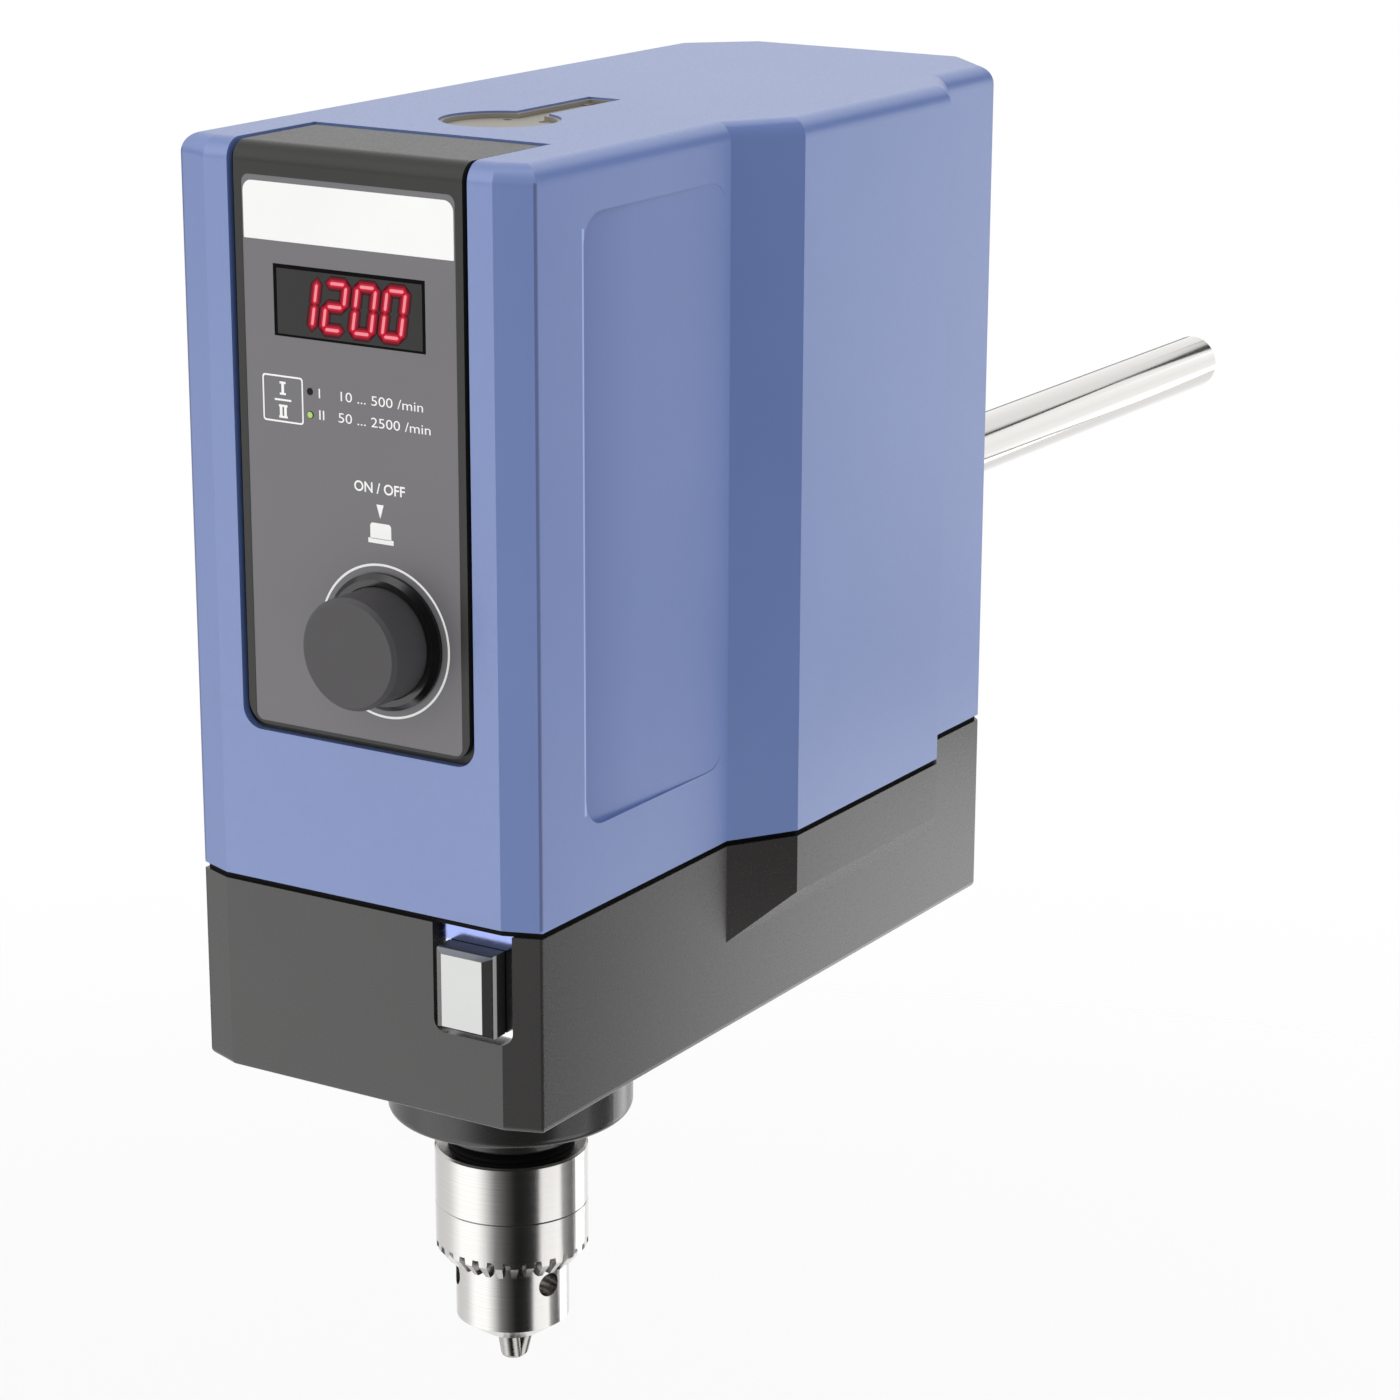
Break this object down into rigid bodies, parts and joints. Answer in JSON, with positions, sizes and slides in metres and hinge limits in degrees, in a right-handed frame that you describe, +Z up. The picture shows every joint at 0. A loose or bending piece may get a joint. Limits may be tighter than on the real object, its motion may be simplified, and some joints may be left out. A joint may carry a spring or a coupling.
{
  "type": "overhead stirrer",
  "caption": "Overhead laboratory stirrer with blue hood, dark gear base, speed knob and display, range selector, keyed three-jaw chuck and a support rod at the rear.",
  "frame": {"origin": "on the spindle axis at the mouth of the chuck, level with the tips of the closed jaws", "axes": "+Z up along the spindle axis, +Y to the rear along the support rod, +X to the right of someone facing the control panel"},
  "size_m": [0.105, 0.4532, 0.3066],
  "materials": {
    "housing_blue": "smooth satin paint",
    "base_grey": "dark satin paint",
    "black_paint": "black satin paint",
    "panel_grey": "fine satin",
    "panel_rim": "satin",
    "foil_grey": "printed film, semi gloss",
    "window_red": "dark red tinted",
    "black_plastic": "fine matt",
    "knob_grey": "soft matt",
    "lamp_clear": "clear lens",
    "board_green": "circuit board",
    "insert_grey": "fine matt",
    "gasket_rubber": "matt",
    "chrome": "bright plating",
    "stainless": "ground and polished",
    "steel": "turned",
    "screw_steel": "zinc plated",
    "gear_steel": "hobbed",
    "bronze": "sintered bronze",
    "alloy": "as machined",
    "motor_iron": "dark enamel"
  },
  "bodies": {
    "housing": {"hood": "housing_blue", "gear_housing": "base_grey", "seam_gasket": "gasket_rubber", "case_screws": "screw_steel", "panel_surround": "panel_rim", "control_panel": "panel_grey", "panel_foil": "foil_grey", "display_window": "window_red", "display_module": "black_plastic", "range_lamps": "lamp_clear", "control_board": "board_green", "encoder_body": "black_plastic", "knob_collar": "black_plastic", "selector_plate": "chrome", "spindle_bearings": "steel", "layshaft_bushes": "bronze", "gear_plate": "alloy", "plate_screws": "screw_steel", "motor_can": "motor_iron", "motor_bearings": "steel", "guide_tube": "alloy", "bearing_flange": "black_paint", "bearing_neck": "black_paint", "support_rod": "stainless", "rod_carrier": "alloy", "rod_nut": "screw_steel", "rear_cover": "base_grey", "cover_screws": "screw_steel", "power_inlet": "black_plastic", "inlet_contacts": "bronze", "switch_frame": "black_plastic", "opening_insert": "insert_grey", "cap_pin": "screw_steel"},
    "spindle_group": {"spindle": "steel", "clutch_keys": "steel", "spindle_seal": "gasket_rubber", "chuck_body": "chrome"},
    "high_gear_group": {"high_gear": "gear_steel"},
    "low_gear_group": {"low_gear": "gear_steel"},
    "layshaft_group": {"layshaft": "steel", "lay_high_gear": "gear_steel", "lay_low_gear": "gear_steel", "lay_drive_gear": "gear_steel"},
    "motor_group": {"motor_shaft": "steel", "motor_rotor": "motor_iron", "motor_pinion": "gear_steel"},
    "selector": {"selector_block": "chrome", "shift_fork": "alloy"},
    "clutch": {"dog_clutch": "gear_steel"},
    "encoder_push": {"encoder_plunger": "steel"},
    "knob": {"speed_knob": "knob_grey", "encoder_shaft": "steel"},
    "rocker": {"power_rocker": "black_plastic"},
    "cap": {"opening_cap": "insert_grey"},
    "sleeve": {"chuck_sleeve": "chrome", "split_nut": "steel"},
    "jaw_1": {"chuck_jaw_1": "steel"},
    "jaw_2": {"chuck_jaw_2": "steel"},
    "jaw_3": {"chuck_jaw_3": "steel"}
  },
  "joints": [
    {"name": "spindle_spin", "type": "hinge", "parent": "housing", "child": "spindle_group", "pos_m": [0, 0, 0.05], "axis": [0, 0, 1], "continuous": true},
    {"name": "high_gear_spin", "type": "hinge", "parent": "housing", "child": "high_gear_group", "pos_m": [0, 0, 0.097], "axis": [0, 0, 1], "continuous": true},
    {"name": "low_gear_spin", "type": "hinge", "parent": "housing", "child": "low_gear_group", "pos_m": [0, 0, 0.118], "axis": [0, 0, 1], "continuous": true},
    {"name": "layshaft_spin", "type": "hinge", "parent": "housing", "child": "layshaft_group", "pos_m": [0, 0.0378, 0.11], "axis": [0, 0, 1], "continuous": true},
    {"name": "motor_spin", "type": "hinge", "parent": "housing", "child": "motor_group", "pos_m": [0.005, 0.06981, 0.17], "axis": [0, 0, 1], "continuous": true},
    {"name": "selector_slide", "type": "slide", "parent": "housing", "child": "selector", "axis": [0, 0, 1], "range_m": [0, 0.004]},
    {"name": "clutch_slide", "type": "slide", "parent": "spindle_group", "child": "clutch", "axis": [0, 0, 1], "range_m": [0, 0.004]},
    {"name": "knob_push", "type": "slide", "parent": "housing", "child": "encoder_push", "axis": [0, 1, 0], "range_m": [0, 0.0008], "stiffness_N_per_m": 2500, "springref_m": -0.0008},
    {"name": "knob_turn", "type": "hinge", "parent": "encoder_push", "child": "knob", "pos_m": [0.0079, -0.058, 0.1984], "axis": [0, -1, 0], "continuous": true},
    {"name": "power_rock", "type": "hinge", "parent": "housing", "child": "rocker", "pos_m": [0.0165, 0.1662, 0.16], "axis": [1, 0, 0], "range_deg": [-16, 0]},
    {"name": "cap_flip", "type": "hinge", "parent": "housing", "child": "cap", "pos_m": [0, 0.0405, 0.30425], "axis": [-1, 0, 0], "range_deg": [0, 100]},
    {"name": "sleeve_turn", "type": "hinge", "parent": "spindle_group", "child": "sleeve", "pos_m": [0, 0, 0.045], "axis": [0, 0, -1], "range_deg": [0, 3740]},
    {"name": "jaw_1_slide", "type": "slide", "parent": "spindle_group", "child": "jaw_1", "axis": [0.1734, 0.1687, 0.9703], "range_m": [0, 0.0208]},
    {"name": "jaw_2_slide", "type": "slide", "parent": "spindle_group", "child": "jaw_2", "axis": [-0.2328, 0.0659, 0.9703], "range_m": [0, 0.0208]},
    {"name": "jaw_3_slide", "type": "slide", "parent": "spindle_group", "child": "jaw_3", "axis": [0.0593, -0.2345, 0.9703], "range_m": [0, 0.0208]}
  ],
  "couplings": [
    {"joint": "high_gear_spin", "follows": "spindle_spin", "ratio": 1},
    {"joint": "low_gear_spin", "follows": "spindle_spin", "ratio": 0.2},
    {"joint": "layshaft_spin", "follows": "spindle_spin", "ratio": -1},
    {"joint": "motor_spin", "follows": "spindle_spin", "ratio": 3.5},
    {"joint": "clutch_slide", "follows": "selector_slide", "ratio": 1},
    {"joint": "jaw_1_slide", "follows": "sleeve_turn", "m_per_rad": 0.00031831},
    {"joint": "jaw_2_slide", "follows": "sleeve_turn", "m_per_rad": 0.00031831},
    {"joint": "jaw_3_slide", "follows": "sleeve_turn", "m_per_rad": 0.00031831}
  ]
}
